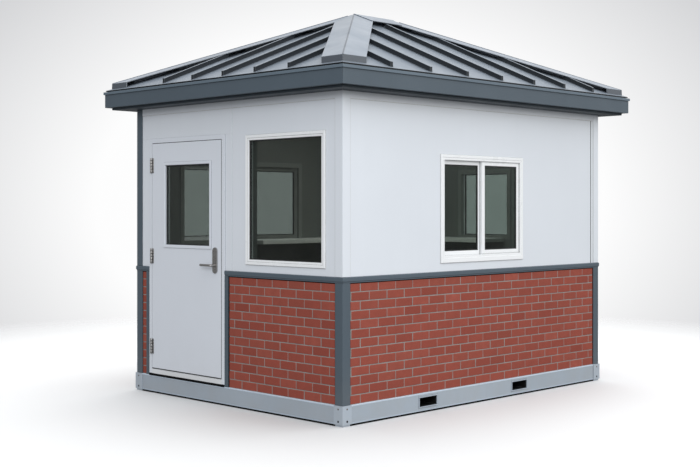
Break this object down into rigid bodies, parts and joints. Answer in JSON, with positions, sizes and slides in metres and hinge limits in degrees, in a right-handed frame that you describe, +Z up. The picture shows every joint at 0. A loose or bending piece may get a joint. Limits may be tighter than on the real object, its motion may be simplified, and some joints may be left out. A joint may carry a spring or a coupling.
{
  "type": "guard booth",
  "caption": "Walk-in guard booth on a steel skid: brick-faced lower walls, white upper panels, glazed swing door, tinted windows on all sides and a hipped standing-seam roof.",
  "frame": {"origin": "on the ground under the middle of the booth", "axes": "+Z up, +Y from the door front to the rear along the longer side, +X to the right seen from the door front"},
  "size_m": [3.123, 3.948, 3.483],
  "materials": {
    "base_steel": "satin grey paint on steel",
    "floor_wood": "sealed plywood deck",
    "brick_facing": "red-brown brick facing with grey mortar",
    "white_panel": "smooth satin white sheet",
    "ceiling_white": "matte white sheet",
    "slate_trim": "satin slate grey sheet",
    "slate_eave": "satin slate grey sheet",
    "eave_edge": "satin grey sheet",
    "door_white": "satin white paint",
    "threshold_metal": "mill finish",
    "hardware_steel": "brushed",
    "window_white": "smooth white coating",
    "tinted_glass": "dark green-grey tint",
    "counter_laminate": "pale laminate",
    "roof_metal": "satin blue-grey sheet"
  },
  "bodies": {
    "booth": {"base_end_beams": "base_steel", "base_side_beams": "base_steel", "corner_feet": "base_steel", "fork_pockets": "base_steel", "floor_deck": "floor_wood", "front_brick_panels": "brick_facing", "right_brick_panel": "brick_facing", "rear_brick_panel": "brick_facing", "left_brick_panel": "brick_facing", "front_wall_door_sides": "white_panel", "front_wall_over_door": "white_panel", "front_wall_window_side": "white_panel", "right_wall": "white_panel", "rear_wall": "white_panel", "left_wall": "white_panel", "ceiling_panel": "ceiling_white", "belt_rails": "slate_trim", "dark_corner_trims": "slate_trim", "white_corner_trims": "white_panel", "door_side_trims": "slate_trim", "door_frame": "door_white", "door_threshold": "threshold_metal", "hinge_frame_halves": "hardware_steel", "front_window_frame": "window_white", "front_window_glass": "tinted_glass", "right_window_frame": "window_white", "right_window_sashes": "window_white", "right_window_glass": "tinted_glass", "rear_window_frame": "window_white", "rear_window_glass": "tinted_glass", "left_window_frame": "window_white", "left_window_sashes": "window_white", "left_window_glass": "tinted_glass", "counter": "counter_laminate", "soffit_boards": "slate_eave", "fascia_boards": "slate_eave", "drip_edges": "eave_edge", "roof_front": "roof_metal", "roof_right": "roof_metal", "roof_rear": "roof_metal", "roof_left": "roof_metal", "hip_caps": "roof_metal", "ridge_cap": "roof_metal"},
    "door": {"door_leaf": "door_white", "door_glass": "tinted_glass", "door_beads": "door_white", "hinge_leaf_halves": "hardware_steel", "lock_plates": "hardware_steel"},
    "lever": {"door_lever": "hardware_steel"}
  },
  "joints": [
    {"name": "door_swing", "type": "hinge", "parent": "booth", "child": "door", "pos_m": [-1.103, -1.769, 1.239], "axis": [0, 0, -1], "range_deg": [0, 105]},
    {"name": "lever_turn", "type": "hinge", "parent": "door", "child": "lever", "pos_m": [-0.1935, -1.7355, 1.184], "axis": [0, -1, 0], "range_deg": [0, 40], "stiffness_Nm_per_rad": 1.6, "springref_deg": -29.79}
  ]
}
